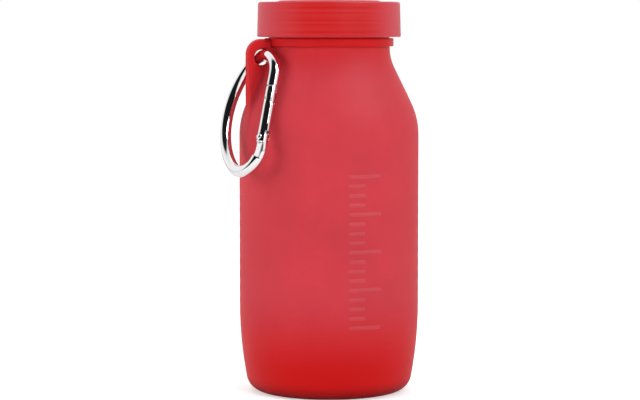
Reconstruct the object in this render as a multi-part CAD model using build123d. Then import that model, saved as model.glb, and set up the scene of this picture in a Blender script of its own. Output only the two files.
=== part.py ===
from build123d import *
import math
import os

# Soft folding water bottle with a screw cap and a carabiner. Millimetres, +Z up,
# origin at the centre of the flat foot, on the bottle's axis.

# Bottle body, one silicone moulding
BODY_R = 38.0
FOOT_R = 34.0
LOWER_WALL_TOP = 22.0
SHOULDER_Z = 116.2
NECK_R = 25.7
NECK_Z = 141.4
NECK_TOP = 149.8
WALL = 2.5
FOOT_FILLET = 7.5
LOWER_FILLET = 170.0
SHOULDER_FILLET = 31.5
NECK_FILLET = 20.0
FOLD_BOTTOM = 26.0
FOLD_TOP = 90.0

# Carabiner loop, a web moulded on the neck and shoulder
LOOP_AZIMUTH = 180.0 + 23.5
LOOP_THICK = 5.0
LOOP_EDGE_R = 37.3
LOOP_BOTTOM = 111.0
LOOP_TOP = 149.5
LOOP_CORNER = 6.5
EYE_R = 31.15
EYE_Z = 141.85
EYE_FRONT_R = 3.75
EYE_WAIST_R = 3.15
EYE_WAIST = -0.7
EYE_FLARE_R = 4.45
EYE_FLARE = 0.8
EYE_BACK_R = 7.75
EYE_NECK_GUARD = 0.4

# Clamp ring, threaded neck insert and thread
RING_R = 27.3
RING_BOTTOM = 146.3
INSERT_BORE_R = 21.2
INSERT_BOTTOM = 137.0
INSERT_TOP = 160.5
INSERT_FLANGE_TOP = 151.0
BARB_DEPTH = 0.5
THREAD_PITCH = 4.0
THREAD_TURNS = 1.5
THREAD_START = 152.8
THREAD_CORE_R = 24.2
THREAD_CREST_R = 25.45
THREAD_HALF = 0.9

# Cap
CAP_BOTTOM = 150.3
CAP_TOP = 165.0
CAP_R_BOTTOM = 30.4
CAP_R_TOP = 30.0
CAP_DISC_R = 21.5
CAP_DISC_H = 0.6
CAP_PLATE = 1.6
LINER_R = 28.2
LINER_BORE_R = 26.0
LINER_CREST_R = 24.75
LINER_PLATE = 1.4
GASKET_R = 24.1
GASKET_BORE_R = 21.2

# Carabiner, drawn in its own plane: X across, Y along, gate on the +X side
CLIP_ORIGIN = Vector(-33.857, -20.428, 118.371)
CLIP_ACROSS = Vector(0.6613, -0.7328, 0.1600)
CLIP_NORMAL = Vector(-0.7332, -0.5864, 0.3444)
CLIP_WIDTH = 26.73
END_R = 9.79
END_Y = 15.75
ROD_R = 2.4
NOSE_Y = 10.3
HEEL_ANGLE = -27.0
GATE_X = CLIP_WIDTH / 2
TONGUE_THICK = 2.0
SLOT_THICK = 2.3

# Gate and its small parts
GATE_BOTTOM = -14.4
GATE_TOP = 10.0
PIVOT_Y = -12.3
PIVOT_PIN_R = 0.8
PIVOT_PLAY = 0.05
PIVOT_HEAD_R = 1.3
PIVOT_SEAT = 2.1
PIVOT_HEAD_H = 0.75
LATCH_Y = 4.6
LATCH_PIN_R = 0.6
LATCH_HALF = 2.2
CAM_HEIGHT = 2.0
CAM_LIFT = 1.2
GATE_OPEN = 25.0
BORE_R = 1.5
BORE_BOTTOM = PIVOT_Y + 1.9
BORE_TOP = 0.5
LOWER_SLOT_TOP = PIVOT_Y + 2.8
UPPER_SLOT_BOTTOM = 2.6
PLUNGER_R = 1.45
PLUNGER_HEAD = 2.0
PLUNGER_STEM_R = 0.75
PLUNGER_STEM = 4.0
PLUNGER_GAP = 0.03
SPRING_R = 1.15
WIRE_R = 0.17
SPRING_COILS = 8


def inset(points, distance):
    """Polyline offset to its left by distance, the two end points kept on their own rays."""
    moved = []
    for i, point in enumerate(points):
        normals = []
        for a, b in ((i - 1, i), (i, i + 1)):
            if a < 0 or b >= len(points):
                continue
            along = (Vector(*points[b]) - Vector(*points[a])).normalized()
            normals.append(Vector(-along.Y, along.X))
        total = sum(normals, Vector(0, 0))
        scale = distance / total.dot(normals[0])
        moved.append((point[0] + total.X * scale, point[1] + total.Y * scale))
    return moved


def bottle_solid(depth):
    """Bottle shape, every wall moved in by depth; radii follow, so the wall stays even."""
    outline = [
        (0, 0),
        (FOOT_R, 0),
        (BODY_R, LOWER_WALL_TOP),
        (BODY_R, SHOULDER_Z),
        (NECK_R, NECK_Z),
        (NECK_R, NECK_TOP),
    ]
    points = inset(outline, depth)
    face = make_face(Polyline(*points, (0, NECK_TOP), close=True))
    rounds = (FOOT_FILLET - depth, LOWER_FILLET - depth, SHOULDER_FILLET - depth, NECK_FILLET + depth)
    for point, radius in zip(points[1:5], rounds):
        corner = face.vertices().sort_by_distance((point[0], point[1], 0))[0]
        face = fillet(corner, radius)
    return revolve(Plane.XZ * face, Axis.Z)


def radial_plane(height=0.0):
    """Plane through the bottle's axis and the loop: X outward, Y up, Z to the back."""
    angle = math.radians(LOOP_AZIMUTH)
    outward = (math.cos(angle), math.sin(angle), 0)
    side = (math.sin(angle), -math.cos(angle), 0)
    return Plane(origin=(0, 0, height), x_dir=outward, z_dir=side)


def loop_web():
    """Web of the carabiner loop, before the cavity and the eye are cut."""
    corners = [
        (NECK_R - WALL / 2, LOOP_BOTTOM),
        (LOOP_EDGE_R, LOOP_BOTTOM),
        (LOOP_EDGE_R, LOOP_TOP),
        (NECK_R - WALL / 2, LOOP_TOP),
    ]
    face = make_face(Polyline(*corners, close=True))
    corner = face.vertices().sort_by_distance((LOOP_EDGE_R, LOOP_TOP, 0))[0]
    face = fillet(corner, LOOP_CORNER)
    return extrude(radial_plane() * face, amount=LOOP_THICK / 2, both=True)


def loop_eye():
    """Hole for the carabiner rod, flared to the back, where the slanting rod swings."""
    half = LOOP_THICK / 2 + 0.2
    outline = [
        Line((EYE_WAIST_R, EYE_WAIST), (EYE_FRONT_R, -half)),
        Line((EYE_FRONT_R, -half), (0, -half)),
        Line((0, -half), (0, half)),
        Line((0, half), (EYE_BACK_R, half)),
        ThreePointArc((EYE_BACK_R, half), (EYE_FLARE_R, EYE_FLARE), (EYE_WAIST_R, EYE_WAIST)),
    ]
    plug = revolve(make_face(outline), Axis.Y)
    seat = radial_plane()
    centre = seat.from_local_coords(Vector(EYE_R, EYE_Z, 0))
    plug = Plane(origin=centre, x_dir=seat.x_dir, z_dir=-seat.y_dir) * plug
    return plug - Cylinder(NECK_R + EYE_NECK_GUARD, 4 * EYE_Z)


def ring_slit():
    """Space for the clamp ring between the neck and the loop."""
    height = LOOP_TOP + 1.0 - RING_BOTTOM
    tube = Cylinder(RING_R + 0.2, height) - Cylinder(NECK_R, height)
    return Pos(0, 0, RING_BOTTOM - 0.1 + height / 2) * tube


def silicone_body():
    shape = bottle_solid(0) + loop_web()
    shape -= bottle_solid(WALL)
    shape -= ring_slit()
    return shape - loop_eye()


def between(shape, low, high):
    """Part of shape from height low to height high."""
    slab = Pos(0, 0, (low + high) / 2) * Box(200, 200, high - low)
    return shape & slab


def ring_profile(points):
    """Solid ring from (radius, height) points."""
    return revolve(Plane.XZ * make_face(Polyline(*points, close=True)), Axis.Z)


def neck_clamp_ring():
    points = [
        (NECK_R, RING_BOTTOM),
        (RING_R, RING_BOTTOM),
        (RING_R, NECK_TOP),
        (NECK_R, NECK_TOP),
    ]
    ring = ring_profile(points)
    circles = ring.edges().filter_by(GeomType.CIRCLE)
    return fillet(circles.filter_by(lambda edge: edge.radius > NECK_R + 0.1), 0.4)


def thread_ridge(root_r, crest_r, half_root, half_crest):
    """Helical ridge from root_r to crest_r, starting on +X at THREAD_START."""
    path = Helix(THREAD_PITCH, THREAD_PITCH * THREAD_TURNS, root_r)
    section = Polyline(
        (0, -half_root),
        (crest_r - root_r, -half_crest),
        (crest_r - root_r, half_crest),
        (0, half_root),
        close=True,
    )
    start = Plane(origin=path @ 0, x_dir=(1, 0, 0), z_dir=path % 0)
    ridge = sweep(start * make_face(section), path=path, is_frenet=True)
    return Pos(0, 0, THREAD_START) * ridge


def neck_insert():
    """Rigid neck: barbed sleeve in the silicone, flange over its end, thread above."""
    sleeve_r = NECK_R - WALL
    points = [(INSERT_BORE_R, INSERT_TOP), (INSERT_BORE_R, INSERT_BOTTOM)]
    barb = (NECK_TOP - INSERT_BOTTOM) / 4
    for i in range(4):
        low = INSERT_BOTTOM + i * barb
        points.append((sleeve_r - BARB_DEPTH, low))
        points.append((sleeve_r, low + barb * 0.8))
        points.append((sleeve_r, low + barb))
    points += [
        (NECK_R - 0.1, NECK_TOP),
        (NECK_R - 0.1, INSERT_FLANGE_TOP),
        (THREAD_CORE_R, INSERT_FLANGE_TOP),
        (THREAD_CORE_R, INSERT_TOP),
    ]
    core = ring_profile(points)
    return core + thread_ridge(THREAD_CORE_R - 0.2, THREAD_CREST_R, THREAD_HALF, THREAD_HALF / 2)


def cap_shell():
    inner_top = CAP_TOP - CAP_PLATE
    points = [
        (0, inner_top),
        (LINER_R, inner_top),
        (LINER_R, CAP_BOTTOM),
        (CAP_R_BOTTOM, CAP_BOTTOM),
        (CAP_R_TOP, CAP_TOP),
        (CAP_DISC_R, CAP_TOP),
        (CAP_DISC_R, CAP_TOP + CAP_DISC_H),
        (0, CAP_TOP + CAP_DISC_H),
    ]
    face = make_face(Polyline(*points, close=True))
    for point, radius in ((points[3], 0.4), (points[4], 0.8), (points[6], 0.3)):
        corner = face.vertices().sort_by_distance((point[0], point[1], 0))[0]
        face = fillet(corner, radius)
    return revolve(Plane.XZ * face, Axis.Z)


def cap_liner():
    """Threaded cup pressed into the shell; its ridge lies half a pitch from the neck's."""
    top = CAP_TOP - CAP_PLATE
    points = [
        (0, top - LINER_PLATE),
        (LINER_BORE_R, top - LINER_PLATE),
        (LINER_BORE_R, CAP_BOTTOM + 0.3),
        (LINER_R, CAP_BOTTOM + 0.3),
        (LINER_R, top),
        (0, top),
    ]
    cup = ring_profile(points)
    ridge = thread_ridge(LINER_BORE_R + 0.2, LINER_CREST_R, THREAD_HALF * 0.9, THREAD_HALF * 0.4)
    return cup + Rot(0, 0, 180) * ridge


def cap_gasket():
    top = CAP_TOP - CAP_PLATE - LINER_PLATE
    points = [
        (GASKET_BORE_R, INSERT_TOP),
        (GASKET_R, INSERT_TOP),
        (GASKET_R, top),
        (GASKET_BORE_R, top),
    ]
    return ring_profile(points)


def on_circle(centre, radius, degrees):
    angle = math.radians(degrees)
    return (centre[0] + radius * math.cos(angle), centre[1] + radius * math.sin(angle))


def rod_path():
    """Centreline of the bent rod, from the nose round the spine to the heel."""
    top = (GATE_X - END_R, END_Y)
    low = (GATE_X - END_R, -END_Y)
    span = CLIP_WIDTH - END_R
    spine_r = (span**2 + END_Y**2 - END_R**2) / (2 * (span - END_R))
    spine = (spine_r - CLIP_WIDTH / 2, 0)
    turn = math.degrees(math.atan2(END_Y, top[0] - spine[0]))
    return [
        Line((GATE_X, NOSE_Y), (GATE_X, END_Y)),
        ThreePointArc((GATE_X, END_Y), on_circle(top, END_R, turn / 2), on_circle(top, END_R, turn)),
        ThreePointArc(
            on_circle(top, END_R, turn),
            (-CLIP_WIDTH / 2, 0),
            on_circle(low, END_R, -turn),
        ),
        ThreePointArc(
            on_circle(low, END_R, -turn),
            on_circle(low, END_R, (HEEL_ANGLE - turn) / 2),
            on_circle(low, END_R, HEEL_ANGLE),
        ),
    ]


def cam_point(degrees):
    """Point of the heel cam that touches the plunger with the gate open by this angle."""
    angle = math.radians(degrees)
    height = CAM_HEIGHT + CAM_LIFT * angle
    x = -height * math.sin(angle) - CAM_LIFT * math.cos(angle)
    y = height * math.cos(angle) - CAM_LIFT * math.sin(angle)
    return (GATE_X + x, PIVOT_Y + y)


def heel_tongue():
    """Flat heel inside the gate's lower slot, its top edge shaped as the plunger's cam."""
    low = (GATE_X - END_R, -END_Y)
    half = ROD_R - 0.3
    band = Circle(END_R + half) - Circle(END_R - half)
    reach = 2 * END_R
    wedge = make_face(Polyline((0, 0), (reach, 0), on_circle((0, 0), reach, HEEL_ANGLE - 8), close=True))
    strap = make_face(
        [
            Line((GATE_X - half, -END_Y - 0.1), (GATE_X + half, -END_Y - 0.1)),
            Line((GATE_X + half, -END_Y - 0.1), (GATE_X + half, PIVOT_Y + CAM_HEIGHT)),
            Line((GATE_X + half, PIVOT_Y + CAM_HEIGHT), cam_point(0)),
            ThreePointArc(cam_point(0), cam_point(GATE_OPEN / 2), cam_point(GATE_OPEN)),
            Line(cam_point(GATE_OPEN), (GATE_X - half, PIVOT_Y - 0.5)),
            Line((GATE_X - half, PIVOT_Y - 0.5), (GATE_X - half, -END_Y - 0.1)),
        ]
    )
    tongue = extrude(Pos(*low) * (band & wedge), TONGUE_THICK / 2, both=True)
    tongue += extrude(strap, TONGUE_THICK / 2, both=True)
    hole = Cylinder(PIVOT_PIN_R + PIVOT_PLAY, 3 * TONGUE_THICK)
    return tongue - Pos(GATE_X, PIVOT_Y) * hole


def nose_tongue():
    """Flat nose with a hooked lip under the latch pin."""
    half = ROD_R - 0.4
    web_x = GATE_X + LATCH_PIN_R + 0.25
    lip_top = LATCH_Y - LATCH_PIN_R - 0.25
    outline = Polyline(
        (GATE_X - half, NOSE_Y + 1.0),
        (GATE_X - half, LATCH_Y + 2.6),
        (web_x, LATCH_Y + 1.0),
        (web_x, lip_top),
        (GATE_X - 1.2, lip_top),
        (GATE_X - 1.2, UPPER_SLOT_BOTTOM + 0.3),
        (GATE_X + half, UPPER_SLOT_BOTTOM + 0.3),
        (GATE_X + half, NOSE_Y + 1.0),
        close=True,
    )
    return extrude(make_face(outline), TONGUE_THICK / 2, both=True)


def carabiner_frame():
    path = rod_path()
    start = Plane(origin=(GATE_X, NOSE_Y, 0), z_dir=(0, 1, 0))
    rod = sweep(start * Circle(ROD_R), path=Wire(path))
    return rod + heel_tongue() + nose_tongue()


def along_gate(radius, low, high):
    """Round bar on the gate's axis from low to high."""
    bar = Rot(90, 0, 0) * Cylinder(radius, high - low)
    return Pos(GATE_X, (low + high) / 2) * bar


def across_gate(y, radius, half):
    """Round bar through the gate at height y, along the clip's normal."""
    return Pos(GATE_X, y) * Cylinder(radius, 2 * half)


def carabiner_gate():
    gate = along_gate(ROD_R, GATE_BOTTOM, GATE_TOP)
    gate = fillet(gate.edges().filter_by(GeomType.CIRCLE), 0.35)
    wide = 4 * ROD_R
    lower = LOWER_SLOT_TOP - GATE_BOTTOM + 1
    gate -= Pos(GATE_X, LOWER_SLOT_TOP - lower / 2) * Box(wide, lower, SLOT_THICK)
    upper = GATE_TOP - UPPER_SLOT_BOTTOM + 1
    gate -= Pos(GATE_X, UPPER_SLOT_BOTTOM + upper / 2) * Box(wide, upper, SLOT_THICK)
    gate -= along_gate(BORE_R, BORE_BOTTOM, BORE_TOP)
    gate -= across_gate(PIVOT_Y, PIVOT_PIN_R, ROD_R + 1)
    gate -= across_gate(LATCH_Y, LATCH_PIN_R, ROD_R + 1)
    for side in (-1, 1):
        seat = Cylinder(PIVOT_HEAD_R + 0.05, 2)
        gate -= Pos(GATE_X, PIVOT_Y, side * (PIVOT_SEAT + 1)) * seat
    return gate


def gate_pivot_pin():
    pin = across_gate(PIVOT_Y, PIVOT_PIN_R, PIVOT_SEAT)
    for side in (-1, 1):
        head = Cylinder(PIVOT_HEAD_R, PIVOT_HEAD_H)
        outer = head.edges().filter_by(GeomType.CIRCLE).sort_by(Axis.Z)[-1 if side > 0 else 0]
        head = fillet(outer, 0.4)
        pin += Pos(GATE_X, PIVOT_Y, side * (PIVOT_SEAT + PIVOT_HEAD_H / 2)) * head
    return pin


def gate_latch_pin():
    return across_gate(LATCH_Y, LATCH_PIN_R, LATCH_HALF)


def gate_plunger():
    low = PIVOT_Y + CAM_HEIGHT + PLUNGER_GAP
    head = along_gate(PLUNGER_R, low, low + PLUNGER_HEAD)
    stem = along_gate(PLUNGER_STEM_R, low + PLUNGER_HEAD, low + PLUNGER_HEAD + PLUNGER_STEM)
    return head + stem


def gate_spring():
    low = PIVOT_Y + CAM_HEIGHT + PLUNGER_GAP + PLUNGER_HEAD + WIRE_R + 0.05
    height = BORE_TOP - WIRE_R - 0.05 - low
    path = Helix(height / SPRING_COILS, height, SPRING_R)
    start = Plane(origin=path @ 0, z_dir=path % 0)
    coil = sweep(start * Circle(WIRE_R), path=path, is_frenet=True)
    return Pos(GATE_X, low) * Rot(-90, 0, 0) * coil


def on_clip(shape):
    """Shape moved from the carabiner's own plane to its place on the bottle."""
    plane = Plane(origin=CLIP_ORIGIN, x_dir=CLIP_ACROSS, z_dir=CLIP_NORMAL)
    return plane * shape


def save(name, shape):
    solids = shape.solids()
    whole = solids[0] if len(solids) == 1 else Compound(children=list(solids))
    export_step(whole, "parts/" + name + ".step")


def main():
    os.makedirs("parts", exist_ok=True)
    body = silicone_body()
    save("body_base", between(body, -1, FOLD_BOTTOM))
    save("body_fold_zone", between(body, FOLD_BOTTOM, FOLD_TOP))
    save("body_upper", between(body, FOLD_TOP, NECK_TOP + 1))
    save("neck_clamp_ring", neck_clamp_ring())
    save("neck_insert", neck_insert())
    save("cap_shell", cap_shell())
    save("cap_liner", cap_liner())
    save("cap_gasket", cap_gasket())
    for name, shape in (
        ("carabiner_frame", carabiner_frame()),
        ("carabiner_gate", carabiner_gate()),
        ("gate_pivot_pin", gate_pivot_pin()),
        ("gate_latch_pin", gate_latch_pin()),
        ("gate_plunger", gate_plunger()),
        ("gate_spring", gate_spring()),
    ):
        save(name, on_clip(shape))


main()
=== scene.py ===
import bpy
import math
import numpy as np
from mathutils import Matrix, Vector

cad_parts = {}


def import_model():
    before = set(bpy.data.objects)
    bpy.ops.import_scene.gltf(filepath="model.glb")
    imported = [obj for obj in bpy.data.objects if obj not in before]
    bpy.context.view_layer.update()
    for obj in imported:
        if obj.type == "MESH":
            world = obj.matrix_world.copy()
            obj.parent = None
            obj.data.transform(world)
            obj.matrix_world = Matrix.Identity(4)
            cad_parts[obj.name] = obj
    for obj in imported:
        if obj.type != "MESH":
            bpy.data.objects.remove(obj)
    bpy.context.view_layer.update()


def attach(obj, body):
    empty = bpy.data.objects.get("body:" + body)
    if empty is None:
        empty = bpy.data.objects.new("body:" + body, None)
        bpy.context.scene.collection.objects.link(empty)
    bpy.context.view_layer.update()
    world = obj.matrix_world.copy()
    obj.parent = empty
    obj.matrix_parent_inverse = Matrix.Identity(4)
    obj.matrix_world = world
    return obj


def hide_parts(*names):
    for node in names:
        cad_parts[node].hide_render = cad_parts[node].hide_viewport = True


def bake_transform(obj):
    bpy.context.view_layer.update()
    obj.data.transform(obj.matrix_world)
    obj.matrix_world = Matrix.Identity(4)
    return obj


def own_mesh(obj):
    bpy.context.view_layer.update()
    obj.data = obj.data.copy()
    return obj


# Folding water bottle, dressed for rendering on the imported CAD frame.
# Blender works in metres, +Z up; every shape below is drawn in millimetres.

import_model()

MM = 0.001

# Silicone body
BODY_R, FOOT_R, NECK_R, WALL = 38.0, 34.0, 25.7, 2.5
LOWER_TOP, SHOULDER_Z, NECK_Z, NECK_TOP = 22.0, 116.2, 141.4, 149.8
OUTLINE = [(0, 0), (FOOT_R, 0), (BODY_R, LOWER_TOP), (BODY_R, SHOULDER_Z),
           (NECK_R, NECK_Z), (NECK_R, NECK_TOP)]
OUTLINE_ROUNDS = [7.5, 170.0, 31.5, 20.0]
RIM_CHAMFER, WALL_MIN_R = 0.4, 20
RIPPLE_DEPTH, RIPPLE_PITCH, RIPPLE_MIN_R = 0.05, 5.5, 30
FOLD_LOW, FOLD_HIGH = 22.0, 96.0

# Raised graduation bars; angles in degrees to the right of the front
BAR_COUNT, BAR_LOWEST, BAR_PITCH, BAR_LEFT = 17, 31.0, 3.9, 12.0
BAR_LONG, BAR_SHORT, BAR_TALL = 15.0, 7.5, 1.7
BAR_LIFT, BAR_RAMP, BAR_SINK = 0.24, 0.45, 0.03
BAR_ACROSS, BAR_UP = 26, 8

# Carabiner loop; its plane holds the bottle's axis
LOOP_TURN = math.radians(180.0 + 23.5)
LOOP_OUT = np.array([math.cos(LOOP_TURN), math.sin(LOOP_TURN), 0.0])
LOOP_SIDE = np.array([-math.sin(LOOP_TURN), math.cos(LOOP_TURN), 0.0])
LOOP_HALF, LOOP_EDGE_R, LOOP_CORNER, LOOP_ROUND = 2.5, 37.3, 6.5, 1.1
LOOP_ROOT_R, LOOP_FIELD_LOW, LOOP_TOP = 14.0, 90.0, 149.5
LOOP_BLEND, EYE_BLEND, SLIT_BLEND = 1.3, 0.5, 0.3
EYE_R, EYE_Z = 31.15, 141.85
EYE_SIDES = [-3.0, -2.4, -1.6, -0.7, 0.0, 0.8, 1.6, 2.2, 2.7, 3.4]
EYE_RADII = [4.15, 3.80, 3.42, 3.20, 3.52, 4.40, 5.55, 6.65, 7.75, 9.2]
CONE_HEIGHTS = [112.0, 120.0, 124.0, 134.0, 140.0, 146.0]
CONE_SCALES = [1.0, 0.93, 0.90, 0.90, 0.95, 1.0]
NECK_GUARD, EYE_WEIGHT, GUARD_WEIGHT = 0.35, 0.9, 4.0
SLIT_R, SLIT_Z = 27.55, 146.15

# The box the loop is meshed in, and where its skin meets the barrel's
LOOP_BOX_R, LOOP_BOX_HALF = 31.0, (13.0, 12.0)
LOOP_BOX_LOW, LOOP_BOX_HIGH = 103.0, 151.0
LOOP_KEEP_R, ON_SKIN, LOOP_SINK = 24.0, 0.004, 0.03
# How far out from the barrel the loop's web starts to be painted into shade, and over what distance
# it gets there (mm)
WEB_SHADE_START, WEB_SHADE_SPAN = 0.6, 3.4

# Clamp ring, threaded insert and cap
RING_BORE_R, RING_R, RING_BOTTOM = 25.72, 27.3, 146.35
INSERT_BORE_R, INSERT_BOTTOM, INSERT_TOP = 21.2, 137.0, 160.5
INSERT_FLANGE_R, INSERT_FLANGE_TOP = 25.6, 151.0
BARBS, BARB_DEPTH = 4, 0.5
THREAD_PITCH, THREAD_TURNS, THREAD_START, THREAD_STEPS = 4.0, 1.5, 152.8, 260
THREAD_CORE_R, THREAD_CREST_R, THREAD_ROOT_IN, THREAD_FADE = 24.2, 25.45, 0.2, 14.0
CAP_BOTTOM, CAP_TOP, CAP_R_BOTTOM, CAP_R_TOP = 150.3, 165.0, 30.4, 30.0
CAP_BORE_R, CAP_CEILING = 28.2, 163.4
DISC_R, DISC_TOP = 21.5, 165.6
LINER_BORE_R, LINER_R, LINER_CREST_R = 26.0, 28.15, 24.75
LINER_BOTTOM, LINER_CEILING, LINER_TOP = 150.6, 162.0, 163.35
GASKET_R = 24.1

# Carabiner, drawn in its own plane: X across, Y along, gate on the +X side
CLIP_ORIGIN = Vector((-33.857, -20.428, 118.371))
CLIP_X = Vector((0.6613, -0.7328, 0.1600)).normalized()
CLIP_Z = Vector((-0.7332, -0.5864, 0.3444)).normalized()
CLIP_Y = CLIP_Z.cross(CLIP_X).normalized()
CLIP_WIDTH, END_R, END_Y, ROD_R = 26.73, 9.79, 15.75, 2.4
GATE_X, NOSE_Y, HEEL_ANGLE = CLIP_WIDTH / 2, 10.3, -27.0
PIVOT_Y, LATCH_Y, GATE_BOTTOM, GATE_TOP = -12.3, 4.6, -14.4, 10.0
CAM_HEIGHT, CAM_LIFT, GATE_OPEN, CAM_STEPS = 2.0, 1.2, 25.0, 8
TONGUE_HALF, SLOT_HALF, LOWER_SLOT_TOP, UPPER_SLOT_BOTTOM = 1.0, 1.15, PIVOT_Y + 2.8, 2.6
PIVOT_PIN_R, PIVOT_BORE_R, LATCH_PIN_R = 0.8, 0.85, 0.6
PIVOT_SEAT, PIVOT_SEAT_R, PAST_ROD = 2.1, 1.35, 4
BORE_R, BORE_BOTTOM, BORE_TOP = 1.5, -10.4, 0.5
PLUNGER_R, PLUNGER_HEAD, STEM_R, PLUNGER_LONG, PLUNGER_GAP = 1.45, 2, 0.75, 6, 0.03
SPRING_R, WIRE_R, SPRING_COILS, COIL_STEPS = 1.15, 0.17, 8, 28
SPRING_LOW, SPRING_HIGH = PIVOT_Y + CAM_HEIGHT + 2.28, 0.28

# Colours (linear)
SILICONE = (0.585, 0.046, 0.061)
# Painted shade colour: the silicone is mixed towards this deeper red near the bottom, under the
# neck ring and on the loop's web
SILICONE_SHADED = (0.575, 0.006, 0.006)
# Painted contact shade: the lowest few millimetres of the foot go towards this dark red
SILICONE_FOOT_SHADE = (0.300, 0.003, 0.004)
# Painted outline shade: towards the outline the silicone turns to this slightly darker, less pink
# red
SILICONE_OUTLINE_SHADE = (0.575, 0.036, 0.046)
SILICONE_MARK = (0.80, 0.20, 0.24)
# The last two set painted shade: how far the loop's web goes into painted shade, and how fast the
# painted outline tone sets in
SILICONE_CLOUD, SILICONE_WEB_SHADE, SILICONE_OUTLINE_SHADE_POWER = 0.05, 0.6, 2.2

# Painted shade: where the silicone is painted darker along its height, from not at all to fully
# (metres): towards the bottom, under the neck ring, and at the foot as contact shade
LOW_SHADE_RANGE, FOOT_SHADE_RANGE, NECK_SHADE_RANGE, NECK_SHADE_MIX = (0.046, 0.010), (0.0075, 0.0005), (0.130, 0.145), 0.45

# Studio (metres, watts)
CAMERA_PLACE, CAMERA_AIM, CAMERA_LENS = (0.0, -0.950, 0.155), (-0.0038, 0.0, 0.0811), 126.0
FLOOR_HALF, FLOOR_GLOW, FLOOR_GAIN, FLOOR_NEAR, FLOOR_FAR = 4, 0.45, 1.6, 0.15, 0.8
SKY_STRENGTH, SKY_STOPS = 0.62, [(0.0, 0.03), (0.28, 0.02), (0.36, 0.80), (0.5, 1.0)]
MIRROR_ACROSS = (0.25, 1.0, -0.15)
MIRROR_STOPS = [(0.0, 0.01), (0.33, 0.015), (0.39, 0.85), (0.5, 1.0)]
LIGHTS = [  # name, place, aim, size, power, seen only in reflections
    ("key", (0.62, -1.0, 0.62), (0, 0, 0.09), 0.6, 8.9, False),
    ("fill_left", (-1.1, -0.5, 0.45), (0, 0, 0.09), 0.8, 6.6, False),
    ("top", (0.0, 0.1, 1.3), (0, 0, 0.08), 1.2, 6.0, False),
    ("sheen", (0.80, -0.44, 0.98), (0, 0, 0.12), 0.8, 14.0, True),
]


# ---------------------------------------------------------------- mesh helpers

def mesh_object(name, verts, faces, mats, scale=MM):
    """Smooth-shaded object from vertices in mm; mats are its material slots."""
    mesh = bpy.data.meshes.new(name)
    mesh.from_pydata([tuple(float(c) * scale for c in v) for v in verts], [], faces)
    mesh.validate()
    mesh.polygons.foreach_set("use_smooth", [True] * len(mesh.polygons))
    for mat in mats:
        mesh.materials.append(mat)
    mesh.update()
    obj = bpy.data.objects.new(name, mesh)
    bpy.context.scene.collection.objects.link(obj)
    return obj


def piece(obj, node, body):
    """Hides the CAD node that obj stands for, and rides obj on a body."""
    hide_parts(node)
    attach(obj, body)


def rounded(points, radii, step=0.5, closed=False):
    """Polyline with its corners turned into arcs; an open one keeps its two ends."""
    out = []
    n = len(points)
    rounds = list(radii) if closed else [0, *radii, 0]
    for i, (p, r) in enumerate(zip(points, rounds)):
        if r <= 0:
            out.append(tuple(p))
            continue
        p = np.array(p, float)
        a = np.array(points[i - 1], float) - p
        b = np.array(points[(i + 1) % n], float) - p
        a /= np.linalg.norm(a)
        b /= np.linalg.norm(b)
        half = math.acos(max(-1.0, min(1.0, float(a @ b)))) / 2
        reach = r / math.tan(half)
        middle = (a + b) / np.linalg.norm(a + b) * (r / math.sin(half)) + p
        start, end = p + a * reach - middle, p + b * reach - middle
        t0 = math.atan2(start[1], start[0])
        turn = (math.atan2(end[1], end[0]) - t0 + math.pi) % (2 * math.pi) - math.pi
        count = max(3, int(abs(turn) * r / step) + 1)
        for k in range(count + 1):
            t = t0 + turn * k / count
            out.append((middle[0] + r * math.cos(t), middle[1] + r * math.sin(t)))
    return out


def resample(points, step):
    """Same polyline with no segment longer than step."""
    out = [tuple(points[0])]
    for a, b in zip(points, points[1:]):
        count = max(1, math.ceil(math.dist(a, b) / step))
        for k in range(1, count + 1):
            out.append((a[0] + (b[0] - a[0]) * k / count, a[1] + (b[1] - a[1]) * k / count))
    return out


def revolved_parts(profile, segments, closed=False):
    """Vertices and faces of a (radius, height) profile turned about Z; r = 0 ends close."""
    verts, faces, rings = [], [], []
    for r, z in profile:
        if r < 1e-6:
            rings.append([len(verts)])
            verts.append((0.0, 0.0, z))
            continue
        rings.append(list(range(len(verts), len(verts) + segments)))
        for k in range(segments):
            t = 2 * math.pi * k / segments
            verts.append((r * math.cos(t), r * math.sin(t), z))
    pairs = list(zip(rings, rings[1:]))
    if closed:
        pairs.append((rings[-1], rings[0]))
    for low, high in pairs:
        for k in range(segments):
            m = (k + 1) % segments
            if len(low) == 1 and len(high) == 1:
                break
            if len(low) == 1:
                faces.append((low[0], high[m], high[k]))
            elif len(high) == 1:
                faces.append((low[k], low[m], high[0]))
            else:
                faces.append((low[k], low[m], high[m], high[k]))
    return verts, faces


def revolved(name, profile, segments, mats, closed=False):
    return mesh_object(name, *revolved_parts(profile, segments, closed), mats)


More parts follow.
